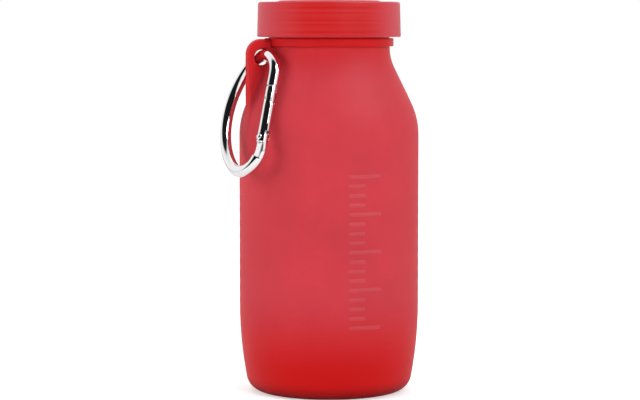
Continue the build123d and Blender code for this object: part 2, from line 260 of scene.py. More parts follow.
def tube_parts(path, radius, segments, chamfer=0.0):
    """Round bar along a 3-D path with flat ends, chamfered if asked."""
    path = [np.array(p, float) for p in path]
    tangents = []
    for i in range(len(path)):
        d = path[min(i + 1, len(path) - 1)] - path[max(i - 1, 0)]
        tangents.append(d / np.linalg.norm(d))
    up = np.cross(tangents[0], np.array([0.0, 0.0, 1.0]))
    if np.linalg.norm(up) < 1e-3:
        up = np.cross(tangents[0], np.array([0.0, 1.0, 0.0]))
    stations = [(p, t, radius) for p, t in zip(path, tangents)]
    if chamfer:
        (start, ahead, _), (end, behind, _) = stations[0], stations[-1]
        inner = [s for s in stations if np.linalg.norm(s[0] - start) > chamfer
                 and np.linalg.norm(s[0] - end) > chamfer]
        steps = [(0.0, chamfer), (chamfer * 0.3, chamfer * 0.3), (chamfer, 0.0)]
        head = [(start + ahead * along, ahead, radius - less) for along, less in steps]
        tail = [(end - behind * along, behind, radius - less) for along, less in steps[::-1]]
        stations = head + inner + tail
    verts, faces = [], []
    for p, t, r in stations:
        up = up - t * (up @ t)
        up /= np.linalg.norm(up)
        side = np.cross(t, up)
        for k in range(segments):
            a = 2 * math.pi * k / segments
            verts.append(p + r * (math.cos(a) * up + math.sin(a) * side))
    for i in range(len(stations) - 1):
        for k in range(segments):
            m = (k + 1) % segments
            a, b = i * segments, (i + 1) * segments
            faces.append((a + k, a + m, b + m, b + k))
    faces.append(tuple(reversed(range(segments))))
    last = (len(stations) - 1) * segments
    faces.append(tuple(range(last, last + segments)))
    return verts, faces


def plate_parts(outline, half):
    """Flat plate, the 2-D outline spread to +-half along Z."""
    n = len(outline)
    verts = [(x, y, -half) for x, y in outline] + [(x, y, half) for x, y in outline]
    area = sum(a[0] * b[1] - b[0] * a[1] for a, b in zip(outline, outline[1:] + outline[:1]))
    order = list(range(n))[::1 if area > 0 else -1]
    faces = [tuple(order[::-1]), tuple(i + n for i in order)]
    for a, b in zip(order, order[1:] + order[:1]):
        faces.append((a, b, b + n, a + n))
    return verts, faces


def box_parts(low, high):
    (x0, y0, z0), (x1, y1, z1) = low, high
    verts = [(x, y, z) for z in (z0, z1) for y in (y0, y1) for x in (x0, x1)]
    faces = [(0, 2, 3, 1), (4, 5, 7, 6), (0, 1, 5, 4), (2, 6, 7, 3), (0, 4, 6, 2), (1, 3, 7, 5)]
    return verts, faces


def joined(*parts):
    """Several (vertices, faces) as one."""
    verts, faces = [], []
    for v, f in parts:
        base = len(verts)
        verts.extend(v)
        faces.extend(tuple(i + base for i in face) for face in f)
    return verts, faces


def join_objects(target, *others):
    """Joins the others into target's mesh."""
    bpy.ops.object.select_all(action="DESELECT")
    for obj in (target, *others):
        obj.select_set(True)
    bpy.context.view_layer.objects.active = target
    bpy.ops.object.join()


def with_modifier(obj, kind, **settings):
    """Adds a modifier and applies it, so that the mesh is final."""
    mod = obj.modifiers.new(kind, kind)
    for key, value in settings.items():
        setattr(mod, key, value)
    deps = bpy.context.evaluated_depsgraph_get()
    deps.update()
    mesh = bpy.data.meshes.new_from_object(obj.evaluated_get(deps), depsgraph=deps)
    obj.modifiers.clear()
    obj.data = mesh


def sharp_smooth(obj, degrees=35.0):
    """Smooth shading with edges sharper than this kept sharp."""
    obj.data.polygons.foreach_set("use_smooth", [True] * len(obj.data.polygons))
    obj.data.set_sharp_from_angle(angle=math.radians(degrees))
    return obj


def bevelled(obj, width):
    with_modifier(obj, "BEVEL", width=width * MM, segments=2, limit_method="ANGLE",
                  angle_limit=math.radians(30.0), harden_normals=False)
    sharp_smooth(obj)


def cut(obj, parts):
    """Boolean difference with a closed mesh."""
    tool = mesh_object("cut_tool", *parts, [])
    with_modifier(obj, "BOOLEAN", operation="DIFFERENCE", solver="EXACT", object=tool)
    bpy.data.objects.remove(tool)


# ---------------------------------------------------------------- shader helpers

def new_material(name):
    mat = bpy.data.materials.new(name)
    mat.use_nodes = True
    nodes, links = mat.node_tree.nodes, mat.node_tree.links
    return mat, nodes, links, nodes["Principled BSDF"]


def set_inputs(node, **values):
    """Sets a node's inputs; an underscore in a key stands for a space in the input's name."""
    for key, value in values.items():
        node.inputs[key.replace("_", " ")].default_value = value


def noise(nodes, links, scale, detail=4.0, rough=0.55, stretch=(1, 1, 1)):
    """Noise in object space; returns its factor socket."""
    coords = nodes.new("ShaderNodeTexCoord")
    mapping = nodes.new("ShaderNodeMapping")
    tex = nodes.new("ShaderNodeTexNoise")
    set_inputs(mapping, Scale=stretch)
    set_inputs(tex, Scale=scale, Detail=detail, Roughness=rough)
    links.new(coords.outputs["Object"], mapping.inputs["Vector"])
    links.new(mapping.outputs["Vector"], tex.inputs["Vector"])
    return tex.outputs["Fac"]


def ramp(nodes, links, factor, stops):
    """Colour ramp over factor; stops are (position, colour)."""
    node = nodes.new("ShaderNodeValToRGB")
    elements = node.color_ramp.elements
    while len(elements) < len(stops):
        elements.new(0.5)
    for element, (position, colour) in zip(elements, stops):
        element.position = position
        element.color = (*colour, 1.0)
    links.new(factor, node.inputs["Fac"])
    return node.outputs["Color"]


def spread(nodes, links, factor, to_min=0.0, to_max=1.0, from_min=0.0, from_max=1.0, ease=False):
    """Maps factor from one range to another, with soft ends if ease."""
    node = nodes.new("ShaderNodeMapRange")
    if ease:
        node.interpolation_type = "SMOOTHSTEP"
    set_inputs(node, From_Min=from_min, From_Max=from_max, To_Min=to_min, To_Max=to_max)
    links.new(factor, node.inputs["Value"])
    return node.outputs["Result"]


def calculated(nodes, links, operation, a, b):
    """Math node over socket a and b, a socket or a number."""
    node = nodes.new("ShaderNodeMath")
    node.operation = operation
    links.new(a, node.inputs[0])
    if isinstance(b, bpy.types.NodeSocket):
        links.new(b, node.inputs[1])
    else:
        node.inputs[1].default_value = b
    return node.outputs[0]


def mixed(nodes, links, factor, a, b, kind="MIX"):
    """Colour mix; a and b are sockets or colours."""
    node = nodes.new("ShaderNodeMix")
    node.data_type = "RGBA"
    node.blend_type = kind
    node.clamp_factor = True
    for socket, value in ((node.inputs[0], factor), (node.inputs[6], a), (node.inputs[7], b)):
        if isinstance(value, bpy.types.NodeSocket):
            links.new(value, socket)
        elif isinstance(value, (int, float)):
            socket.default_value = value
        else:
            socket.default_value = (*value, 1.0)
    return node.outputs[2]


def bump(nodes, links, shader, height, strength, distance):
    node = nodes.new("ShaderNodeBump")
    set_inputs(node, Strength=strength, Distance=distance)
    links.new(height, node.inputs["Height"])
    links.new(node.outputs["Normal"], shader.inputs["Normal"])


def facing(nodes):
    """0 where the surface faces the eye, rising towards the outline."""
    node = nodes.new("ShaderNodeLayerWeight")
    set_inputs(node, Blend=0.5)
    return node.outputs["Facing"]


def height_factor(nodes, links, low, high, top=1.0):
    """0 at height low, top at height high (metres)."""
    coords = nodes.new("ShaderNodeTexCoord")
    split = nodes.new("ShaderNodeSeparateXYZ")
    links.new(coords.outputs["Object"], split.inputs["Vector"])
    eased = spread(nodes, links, split.outputs["Z"], from_min=low, from_max=high, ease=True)
    return eased if top == 1.0 else spread(nodes, links, eased, to_max=top)


def tinted(colour, factor):
    return tuple(min(1.0, c * factor) for c in colour)


# ---------------------------------------------------------------- materials

def silicone_material(name, lift=0.0):
    """Matte moulded silicone: cloudy red, with painted shade: deeper near both ends and on the
    loop's web, darkest at the foot, and a little darker towards the outline.
    """
    mat, nodes, links, shader = new_material(name)
    cloud = noise(nodes, links, 38.0, 5.0)
    base = ramp(nodes, links, cloud, [(0.35, tinted(SILICONE, 1 - SILICONE_CLOUD)),
                                      (0.65, tinted(SILICONE, 1 + SILICONE_CLOUD))])
    # painted shade: deeper red towards the bottom and under the neck ring; the pinker middle stands
    # in for sheen
    low = height_factor(nodes, links, *LOW_SHADE_RANGE)
    base = mixed(nodes, links, low, base, SILICONE_SHADED)
    neck = height_factor(nodes, links, *NECK_SHADE_RANGE, NECK_SHADE_MIX)
    base = mixed(nodes, links, neck, base, SILICONE_SHADED)
    # painted shade at the outline: slightly darker and less pink where the surface turns away from
    # the eye
    edge = calculated(nodes, links, "POWER", facing(nodes), SILICONE_OUTLINE_SHADE_POWER)
    base = mixed(nodes, links, edge, base, SILICONE_OUTLINE_SHADE)
    # painted contact shade: the foot's lowest millimetres darken where it meets the floor
    foot_shade = height_factor(nodes, links, *FOOT_SHADE_RANGE)
    base = mixed(nodes, links, foot_shade, base, SILICONE_FOOT_SHADE)
    dust = ramp(nodes, links, noise(nodes, links, 900.0, 1.0),
                [(0.0, (0.30,) * 3), (0.225, (1.0,) * 3)])
    base = mixed(nodes, links, 1.0, base, dust, "MULTIPLY")
    # painted shade on the loop's web, read from a vertex attribute
    web = nodes.new("ShaderNodeAttribute")
    web.attribute_name = "web_depth"
    web_shade_mix = spread(nodes, links, web.outputs["Fac"], 0.0, SILICONE_WEB_SHADE)
    base = mixed(nodes, links, web_shade_mix, base, SILICONE_SHADED)
    if lift:
        base = mixed(nodes, links, lift, base, SILICONE_MARK)
    links.new(base, shader.inputs["Base Color"])
    handling = noise(nodes, links, 14.0, 6.0)
    links.new(spread(nodes, links, handling, 0.46, 0.60), shader.inputs["Roughness"])
    set_inputs(shader, IOR=1.41, Specular_IOR_Level=0.14, Subsurface_Weight=0.12,
               Subsurface_Radius=(0.006, 0.0012, 0.0012), Subsurface_Scale=1.0,
               Sheen_Weight=0.02, Sheen_Roughness=0.45, Sheen_Tint=(1.0, 0.72, 0.75, 1.0))
    bump(nodes, links, shader, noise(nodes, links, 2600.0, 2.0), 0.12, 0.00012)
    return mat


def plastic_material(name, colour, deep, rough, painted_outline_light=None, transmission=0.0,
                     streaks=(1, 1, 3), spec=0.35, painted_glow=0.0):
    """Moulded plastic with faint flow marks and fine scuffs; pale is a painted light colour at the
    outline, in place of light through thin edges; painted_glow is a painted glow (emission), in
    place of light carried through the plastic. On the cap the stretched flow marks are also painted
    highlight lines."""
    mat, nodes, links, shader = new_material(name)
    # flow marks; stretched long, as on the cap, they also serve as painted highlight lines
    flow_and_highlight_lines = noise(nodes, links, 60.0, 3.0, stretch=streaks)
    base = ramp(nodes, links, flow_and_highlight_lines, [(0.3, deep), (0.7, colour)])
    # painted light: towards the outline the colour goes to the given paler tone
    if painted_outline_light:
        edge = spread(nodes, links, facing(nodes), from_min=0.06, from_max=0.56, ease=True)
        base = mixed(nodes, links, edge, base, painted_outline_light)
    links.new(base, shader.inputs["Base Color"])
    scuff = noise(nodes, links, 320.0, 6.0, 0.7)
    links.new(spread(nodes, links, scuff, *rough), shader.inputs["Roughness"])
    # painted glow: emission in the plastic's own colour, though it is no lamp
    set_inputs(shader, Transmission_Weight=transmission, Specular_IOR_Level=spec, IOR=1.5,
               Emission_Color=(*colour, 1.0), Emission_Strength=painted_glow)
    bump(nodes, links, shader, noise(nodes, links, 700.0, 3.0), 0.06, 0.0001)
    return mat


def metal_material(name, colour, rough, scratch, stretch=(1, 1, 1)):
    """Metal with fine scratches and uneven polish."""
    mat, nodes, links, shader = new_material(name)
    tint = noise(nodes, links, 90.0, 4.0)
    base = ramp(nodes, links, tint, [(0.3, tinted(colour, 0.92)), (0.7, colour)])
    links.new(base, shader.inputs["Base Color"])
    set_inputs(shader, Metallic=1.0)
    polish = noise(nodes, links, 260.0, 6.0, 0.75, stretch)
    links.new(spread(nodes, links, polish, *rough), shader.inputs["Roughness"])
    scratches = noise(nodes, links, 1500.0, 2.0, 0.6, stretch)
    bump(nodes, links, shader, scratches, scratch, 0.00004)
    return mat


silicone = silicone_material("silicone_red")
silicone_mark = silicone_material("silicone_mark", lift=0.14)
# Ring, insert and liner carry a painted glow (emission), in place of light passing through the
# translucent plastic; on the ring it also brightens the whole part
ring_plastic = plastic_material(
    "ring_red_plastic", (0.54, 0.012, 0.014), (0.50, 0.010, 0.012), (0.34, 0.44),
    spec=0.08, painted_glow=0.10)
insert_plastic = plastic_material(
    "insert_red_plastic", (0.55, 0.018, 0.022), (0.48, 0.012, 0.016), (0.22, 0.36),
    painted_glow=0.18)
liner_plastic = plastic_material(
    "liner_red_plastic", (0.60, 0.020, 0.022), (0.52, 0.014, 0.016), (0.2, 0.34),
    painted_glow=0.15)
# The cap's paler outline colour is painted light, in place of light through its thin frosted edges;
# its long horizontal streaks are painted highlight lines as well as flow marks
cap_plastic = plastic_material(
    "cap_frosted_plastic", (0.64, 0.030, 0.034), (0.60, 0.006, 0.006), (0.36, 0.46),
    painted_outline_light=(0.64, 0.064, 0.084), transmission=0.12, streaks=(0.10, 0.10, 11), spec=0.13)
gasket_rubber = plastic_material(
    "gasket_white_silicone", (0.80, 0.80, 0.78), (0.72, 0.72, 0.70), (0.45, 0.6))
chrome = metal_material("clip_chrome", (0.90, 0.90, 0.91), (0.02, 0.07), 0.02)
steel = metal_material("pin_steel", (0.62, 0.61, 0.60), (0.22, 0.38), 0.10, (1, 1, 6))


# ---------------------------------------------------------------- silicone body

def inset(points, distance):
    """Polyline moved to its left by distance, corner by corner."""
    out = []
    for i, point in enumerate(points):
        normals = []
        for a, b in ((i - 1, i), (i, i + 1)):
            if a < 0 or b >= len(points):
                continue
            d = np.array(points[b], float) - np.array(points[a], float)
            d /= np.linalg.norm(d)
            normals.append(np.array([-d[1], d[0]]))
        total = sum(normals)
        moved = np.array(point, float) + total * distance / float(total @ normals[0])
        out.append(tuple(moved))
    return out


OUTER = rounded(OUTLINE, OUTLINE_ROUNDS, 0.8)
WALL_R, WALL_Z = np.array([p for p in OUTER if p[0] > WALL_MIN_R]).T


def body_radius(z):
    """Outer radius of the silicone at height z."""
    return np.interp(z, WALL_Z, WALL_R)


def ripple(z):
    """Shallow memory of the folds along the barrel."""
    if not FOLD_LOW < z < FOLD_HIGH:
        return 0.0
    fade = math.sin(math.pi * (z - FOLD_LOW) / (FOLD_HIGH - FOLD_LOW))
    return RIPPLE_DEPTH * fade * math.cos(2 * math.pi * z / RIPPLE_PITCH)


def barrel_parts():
    outer = [(r + ripple(z) if r > RIPPLE_MIN_R else r, z) for r, z in resample(OUTER, 1.0)]
    outer[-1] = (NECK_R, NECK_TOP - RIM_CHAMFER)
    rim = [(NECK_R - RIM_CHAMFER, NECK_TOP), (NECK_R - WALL + RIM_CHAMFER, NECK_TOP)]
    rounds = [r - WALL for r in OUTLINE_ROUNDS[:3]] + [OUTLINE_ROUNDS[3] + WALL]
    inner = rounded(inset(OUTLINE, WALL)[:5] + [(NECK_R - WALL, NECK_TOP)], rounds, 1.5)
    profile = outer + rim + resample(inner, 3.0)[::-1]
    return revolved_parts(profile, 360)


def smooth_min(a, b, k):
    h = np.clip(0.5 + 0.5 * (b - a) / k, 0, 1)
    return b + (a - b) * h - k * h * (1 - h)


def smooth_max(a, b, k):
    return -smooth_min(-a, -b, k)


def rounded_box(x, y, corner):
    """Signed distance to a rounded 2-D box; x and y are measured from its corner's centre."""
    outside = np.hypot(np.maximum(x, 0), np.maximum(y, 0))
    return outside + np.minimum(np.maximum(x, y), 0) - corner


def loop_field(p):
    """Signed distance to the silicone around the loop, and to the body alone.

    p is (..., 3); side runs across the web, to the back.
    """
    radius = np.hypot(p[..., 0], p[..., 1])
    out = p @ LOOP_OUT
    side = -(p @ LOOP_SIDE)
    z = p[..., 2]
    body = (radius - body_radius(z)) * np.interp(z, CONE_HEIGHTS, CONE_SCALES)
    middle, reach = (LOOP_TOP + LOOP_FIELD_LOW) / 2, (LOOP_TOP - LOOP_FIELD_LOW) / 2
    flat = rounded_box(np.abs(out - LOOP_ROOT_R) - (LOOP_EDGE_R - LOOP_ROOT_R - LOOP_CORNER),
                       np.abs(z - middle) - (reach - LOOP_CORNER), LOOP_CORNER)
    web = rounded_box(flat + LOOP_ROUND, np.abs(side) - LOOP_HALF + LOOP_ROUND, LOOP_ROUND)
    eye = np.interp(side, EYE_SIDES, EYE_RADII) - np.hypot(out - EYE_R, z - EYE_Z)
    guard = radius - (NECK_R + NECK_GUARD)
    web = smooth_max(web, np.minimum(eye * EYE_WEIGHT, guard * GUARD_WEIGHT), EYE_BLEND)
    slit = -np.maximum(radius - SLIT_R, SLIT_Z - z)
    return smooth_max(smooth_min(body, web, LOOP_BLEND), slit, SLIT_BLEND), body


def surface_net(field, low, high, step):
    """Mesh of the zero level of field in a box (naive surface nets)."""
    axes = [np.arange(a, b + step, step) for a, b in zip(low, high)]
    grid = np.stack(np.meshgrid(*axes, indexing="ij"), -1)
    value, _ = field(grid)
    inside = value < 0
    shape = np.array(value.shape) - 1
    total = np.zeros((*shape, 3))
    count = np.zeros(shape)
    corners = [(i, j, k) for i in (0, 1) for j in (0, 1) for k in (0, 1)]
    # one vertex per mixed cell, at the mean of its edges' crossings
    for a in corners:
        for axis in range(3):
            if a[axis]:
                continue
            b = list(a)
            b[axis] = 1
            sa = tuple(slice(a[i], a[i] + shape[i]) for i in range(3))
            sb = tuple(slice(b[i], b[i] + shape[i]) for i in range(3))
            crossing = inside[sa] != inside[sb]
            rise = np.where(crossing, value[sa] - value[sb], 1.0)
            t = np.where(crossing, value[sa] / rise, 0.0)
            point = grid[sa] + (grid[sb] - grid[sa]) * t[..., None]
            total += np.where(crossing[..., None], point, 0.0)
            count += crossing
    used = count > 0
    index = np.full(shape, -1)
    index[used] = np.arange(int(used.sum()))
    verts = total[used] / count[used][:, None]
    # one face per crossed edge, round the four cells that share it
    faces = []
    for axis in range(3):
        u, v = [i for i in range(3) if i != axis]
        near = [slice(1, -1)] * 3
        near[axis] = slice(0, -1)
        far = [slice(1, -1)] * 3
        far[axis] = slice(1, None)
        a, b = inside[tuple(near)], inside[tuple(far)]
        offsets = np.array([1, 1, 1])
        offsets[axis] = 0
        places = np.argwhere(a != b) + offsets
        for place, starts_inside in zip(places, a[a != b]):
            quad = []
            for du, dv in ((-1, -1), (0, -1), (0, 0), (-1, 0)):
                q = place.copy()
                q[u] += du
                q[v] += dv
                quad.append(int(index[tuple(q)]))
            if min(quad) < 0:
                continue
            flip = bool(starts_inside) != (axis == 1)
            faces.append(tuple(quad if flip else quad[::-1]))
    return verts, faces


def settle(verts, field, rounds=3, nudge_by=0.05):
    """Moves each vertex onto the zero level along the field's slope."""
    for _ in range(rounds):
        value, _ = field(verts)
        slope = np.zeros_like(verts)
        for axis in range(3):
            nudge = np.zeros(3)
            nudge[axis] = nudge_by
            rise = field(verts + nudge)[0] - field(verts - nudge)[0]
            slope[:, axis] = rise / (2 * nudge_by)
        size = np.maximum((slope**2).sum(1), 0.2)
        verts = verts - slope * (value / size)[:, None]
    return verts


def loop_parts():
    """The loop's web and its fillets, up to the barrel's own skin, with each point's painted web
    shade 0..1, growing with its distance out from the barrel.
    """
    centre = LOOP_OUT * LOOP_BOX_R
    half = np.array(LOOP_BOX_HALF)
    low = np.array([*(centre[:2] - half), LOOP_BOX_LOW])
    high = np.array([*(centre[:2] + half), LOOP_BOX_HIGH])
    step = 0.3
    verts, faces = surface_net(loop_field, low, high, step)
    verts = settle(verts, loop_field)
    _, body = loop_field(verts)
    proud = (body > ON_SKIN) & (verts[:, 0] > low[0] + step) & (verts @ LOOP_OUT > LOOP_KEEP_R)
    shown = [f for f in faces if any(proud[i] for i in f)]
    used = sorted({i for f in shown for i in f})
    renumber = {old: new for new, old in enumerate(used)}
    verts, body = verts[used], body[used]
    # points on the barrel's skin go just under it, so that the two skins don't flicker
    radial = verts * (1, 1, 0)
    radial /= np.linalg.norm(radial, axis=1)[:, None]
    verts = verts - radial * np.where(body < ON_SKIN, LOOP_SINK, 0.0)[:, None]
    # painted shade on the web: 0 at the barrel, rising to 1 further out, where the web's face lies
    # in shade
    web_shade = np.clip((body - WEB_SHADE_START) / WEB_SHADE_SPAN, 0.0, 1.0)
    return [tuple(v) for v in verts], [tuple(renumber[i] for i in f) for f in shown], web_shade


def bar_parts(angle, z, width):
    """Raised bar on the barrel, rounded at the ends; angle is its middle."""
    verts, faces = [], []
    for j in range(BAR_UP + 1):
        for i in range(BAR_ACROSS + 1):
            u, v = 2 * i / BAR_ACROSS - 1, 2 * j / BAR_UP - 1
            x, y = u * width / 2, v * BAR_TALL / 2
            end = max(0.0, abs(x) - (width / 2 - BAR_TALL / 2)) / (BAR_TALL / 2)
            y *= math.sqrt(max(0.0, 1 - end * end))
            edge = min((1 - abs(v)) * BAR_TALL / 2, width / 2 - abs(x))
            rise = BAR_LIFT * min(1.0, edge / BAR_RAMP)
            r = float(body_radius(z + y)) - BAR_SINK + rise
            t = math.radians(angle - 90) + x / BODY_R
            verts.append((r * math.cos(t), r * math.sin(t), z + y))
    for j in range(BAR_UP):
        for i in range(BAR_ACROSS):
            a = j * (BAR_ACROSS + 1) + i
            faces.append((a, a + 1, a + BAR_ACROSS + 2, a + BAR_ACROSS + 1))
    return verts, faces


def mark_parts():
    """Graduation of plain raised bars: a long one at every fourth step."""
    bars = []
    for k in range(BAR_COUNT):
        width = BAR_LONG if k % 4 == 0 else BAR_SHORT
        angle = BAR_LEFT + math.degrees(width / 2 / BODY_R)
        bars.append(bar_parts(angle, BAR_LOWEST + k * BAR_PITCH, width))
    return joined(*bars)


def silicone_bottle():
    """Barrel, loop and marks in one object, one piece over the fold zone."""
    barrel = barrel_parts()
    *loop, web_shade = loop_parts()
    obj = mesh_object("bottle_body", *joined(barrel, loop, mark_parts()),
                      [silicone, silicone_mark])
    # the loop's vertices carry their painted web shade; the barrel and marks stay 0
    web = np.zeros(len(obj.data.vertices))
    web[len(barrel[0]):len(barrel[0]) + len(web_shade)] = web_shade
    obj.data.attributes.new("web_depth", "FLOAT", "POINT").data.foreach_set("value", web)
    index = np.zeros(len(obj.data.polygons), dtype=np.int32)
    index[len(barrel[1]) + len(loop[1]):] = 1
    obj.data.polygons.foreach_set("material_index", index)
    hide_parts("body_base", "body_fold_zone", "body_upper")
    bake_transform(obj)


# ---------------------------------------------------------------- neck and cap

def neck_ring():
    points = [(RING_BORE_R, RING_BOTTOM), (RING_R, RING_BOTTOM),
              (RING_R, NECK_TOP), (RING_BORE_R, NECK_TOP)]
    profile = rounded(points, [0.15, 0.45, 0.45, 0.15], 0.1, closed=True)
    obj = revolved("neck_ring", profile, 256, [ring_plastic], closed=True)
    piece(obj, "neck_clamp_ring", "upper")


def thread_parts(root, crest, half_root, half_crest, spin):
    """Helical ridge, faded to nothing at both ends."""
    verts, faces = [], []
    for k in range(THREAD_STEPS + 1):
        t = 2 * math.pi * THREAD_TURNS * k / THREAD_STEPS + spin
        z = THREAD_START + THREAD_PITCH * THREAD_TURNS * k / THREAD_STEPS
        fade = min(1.0, THREAD_FADE * k / THREAD_STEPS,
                   THREAD_FADE * (THREAD_STEPS - k) / THREAD_STEPS)
        tip = root + (crest - root) * fade
        for r, dz in ((root, -half_root), (tip, -half_crest), (tip, half_crest), (root, half_root)):
            verts.append((r * math.cos(t), r * math.sin(t), z + dz))
    for k in range(THREAD_STEPS):
        a, b = 4 * k, 4 * k + 4
        for i in range(3):
            quad = (a + i, b + i, b + i + 1, a + i + 1)
            faces.append(quad if crest > root else quad[::-1])
    return verts, faces


def neck_insert():
    """Barbed sleeve in the silicone, flange over its end, thread above."""
    sleeve = NECK_R - WALL
    barb = (NECK_TOP - INSERT_BOTTOM) / BARBS
    points = [(INSERT_BORE_R, INSERT_TOP), (INSERT_BORE_R, INSERT_BOTTOM)]
    for i in range(BARBS):
        low = INSERT_BOTTOM + i * barb
        points += [(sleeve - BARB_DEPTH, low), (sleeve, low + barb * 0.8), (sleeve, low + barb)]
    points += [(INSERT_FLANGE_R, NECK_TOP), (INSERT_FLANGE_R, INSERT_FLANGE_TOP),
               (THREAD_CORE_R, INSERT_FLANGE_TOP), (THREAD_CORE_R, INSERT_TOP)]
    rounds = [0.4, 0.3] + [0.1, 0.1, 0.0] * BARBS + [0.1, 0.4, 0.3, 0.5]
    core = revolved_parts(rounded(points, rounds, 0.15, closed=True), 224, closed=True)
    ridge = thread_parts(THREAD_CORE_R - THREAD_ROOT_IN, THREAD_CREST_R, 0.9, 0.45, 0.0)
    obj = mesh_object("neck_insert_piece", *joined(core, ridge), [insert_plastic])
    piece(sharp_smooth(obj, 50), "neck_insert", "upper")


def cap_outer():
    """Cap shell with a low disc on top."""
    points = [(0, CAP_CEILING), (CAP_BORE_R, CAP_CEILING), (CAP_BORE_R, CAP_BOTTOM),
              (CAP_R_BOTTOM, CAP_BOTTOM), (CAP_R_TOP, CAP_TOP), (DISC_R, CAP_TOP),
              (DISC_R, DISC_TOP), (0, DISC_TOP)]
    profile = rounded(points, [0.5, 0.3, 0.6, 1.0, 0.25, 0.35], 0.12)
    obj = revolved("cap_outer_shell", resample(profile, 3.0), 288, [cap_plastic])
    piece(obj, "cap_shell", "cap")


def cap_inner():
    """Threaded cup inside the shell."""
    points = [(0, LINER_CEILING), (LINER_BORE_R, LINER_CEILING), (LINER_BORE_R, LINER_BOTTOM),
              (LINER_R, LINER_BOTTOM), (LINER_R, LINER_TOP), (0, LINER_TOP)]
    profile = rounded(points, [0.5, 0.3, 0.3, 0.3], 0.15)
    core = revolved_parts(resample(profile, 3.0), 224)
    ridge = thread_parts(LINER_BORE_R + THREAD_ROOT_IN, LINER_CREST_R, 0.81, 0.36, math.pi)
    obj = mesh_object("cap_inner_liner", *joined(core, ridge), [liner_plastic])
    piece(sharp_smooth(obj, 50), "cap_liner", "cap")


def gasket():
    points = [(INSERT_BORE_R, INSERT_TOP), (GASKET_R, INSERT_TOP),
              (GASKET_R, LINER_CEILING), (INSERT_BORE_R, LINER_CEILING)]
    profile = rounded(points, [0.35] * 4, 0.08, closed=True)
    obj = revolved("cap_seal_ring", profile, 192, [gasket_rubber], closed=True)
    piece(obj, "cap_gasket", "seal")


# ---------------------------------------------------------------- carabiner

def placed(obj):
    """Moves a mesh drawn in the carabiner's plane to its place on the bottle."""
    m = Matrix.Identity(4)
    for i in range(3):
        m[i][0], m[i][1], m[i][2], m[i][3] = CLIP_X[i], CLIP_Y[i], CLIP_Z[i], CLIP_ORIGIN[i] * MM
    obj.data.transform(m)
    obj.data.update()
    return obj


def arc(centre, radius, start, end, step=1.5):
    """Points of an arc between two angles, step degrees apart."""
    count = max(2, int(abs(end - start) / step))
    angles = [math.radians(start + (end - start) * k / count) for k in range(count + 1)]
    return [(centre[0] + radius * math.cos(a), centre[1] + radius * math.sin(a)) for a in angles]


def rod_path():
    """Middle of the rod, from the nose round the spine to the heel."""
    top, low = (GATE_X - END_R, END_Y), (GATE_X - END_R, -END_Y)
    span = CLIP_WIDTH - END_R
    spine_r = (span**2 + END_Y**2 - END_R**2) / (2 * (span - END_R))
    spine = (spine_r - CLIP_WIDTH / 2, 0.0)
    turn = math.degrees(math.atan2(END_Y, top[0] - spine[0]))
    path = resample([(GATE_X, NOSE_Y), (GATE_X, END_Y)], 0.5)
    path += arc(top, END_R, 0, turn)[1:]
    path += arc(spine, spine_r, turn, 360 - turn, 0.7)[1:]
    path += arc(low, END_R, 360 - turn, 360 + HEEL_ANGLE)[1:]
    return path


def cam_point(degrees):
    """Point of the heel's cam that the plunger rests on with the gate open by degrees."""
    a = math.radians(degrees)
    h = CAM_HEIGHT + CAM_LIFT * a
    return (GATE_X - h * math.sin(a) - CAM_LIFT * math.cos(a),
            PIVOT_Y + h * math.cos(a) - CAM_LIFT * math.sin(a))


def heel_outline():
    """Flat tongue that carries the pivot, with the cam on its end."""
    low, half = (GATE_X - END_R, -END_Y), ROD_R - 0.3
    start, top = HEEL_ANGLE - 6, PIVOT_Y + CAM_HEIGHT
    outer = arc(low, END_R + half, start, 0, 3)
    inner = arc(low, END_R - half, 0, start, 3)
    shoulder = [(GATE_X + half, top - 0.4), (GATE_X + half - 0.4, top)]
    cam = [cam_point(GATE_OPEN * k / CAM_STEPS) for k in range(CAM_STEPS + 1)]
    return outer + shoulder + cam + [(GATE_X - half, PIVOT_Y - 0.5)] + inner


def nose_outline():
    """Flat hook that catches the latch pin."""
    half, web, lip = ROD_R - 0.4, GATE_X + 0.85, LATCH_Y - 0.85
    hook, tip = GATE_X - 1.2, 2.9
    points = [(GATE_X - half, NOSE_Y + 1), (GATE_X - half, LATCH_Y + 2.6), (web, LATCH_Y + 1.0),
              (web, lip), (hook, lip), (hook, tip), (GATE_X + half, tip),
              (GATE_X + half, NOSE_Y + 1)]
    return rounded(points, [0, 0.4, 0.3, 0.3, 0.25, 0.25, 0.4, 0], 0.12, closed=True)


def turned(profile, centre, axis, segments=32):
    """Profile (radius, along) turned about the clip's own y or z axis through centre."""
    verts, faces = revolved_parts(profile, segments)
    if axis == "y":
        verts = [(x + centre[0], z + centre[1], -y) for x, y, z in verts]
    else:
        verts = [(x + centre[0], y + centre[1], z) for x, y, z in verts]
    return verts, faces


def cylinder(radius, low, high):
    """Profile of a solid cylinder, to be turned."""
    return [(0, low), (radius, low), (radius, high), (0, high)]


def clip_frame():
    rod = tube_parts([(x, y, 0) for x, y in rod_path()], ROD_R, 56, 0.3)
    obj = sharp_smooth(mesh_object("carabiner_rod", *rod, [chrome]), 40)
    heel = mesh_object("carabiner_heel", *plate_parts(heel_outline(), TONGUE_HALF), [chrome])
    cut(heel, turned(cylinder(PIVOT_BORE_R, -2, 2), (GATE_X, PIVOT_Y), "z"))
    nose = mesh_object("carabiner_nose", *plate_parts(nose_outline(), TONGUE_HALF), [chrome])
    for extra in (heel, nose):
        bevelled(extra, 0.15)
    join_objects(obj, heel, nose)
    piece(placed(obj), "carabiner_frame", "carabiner")


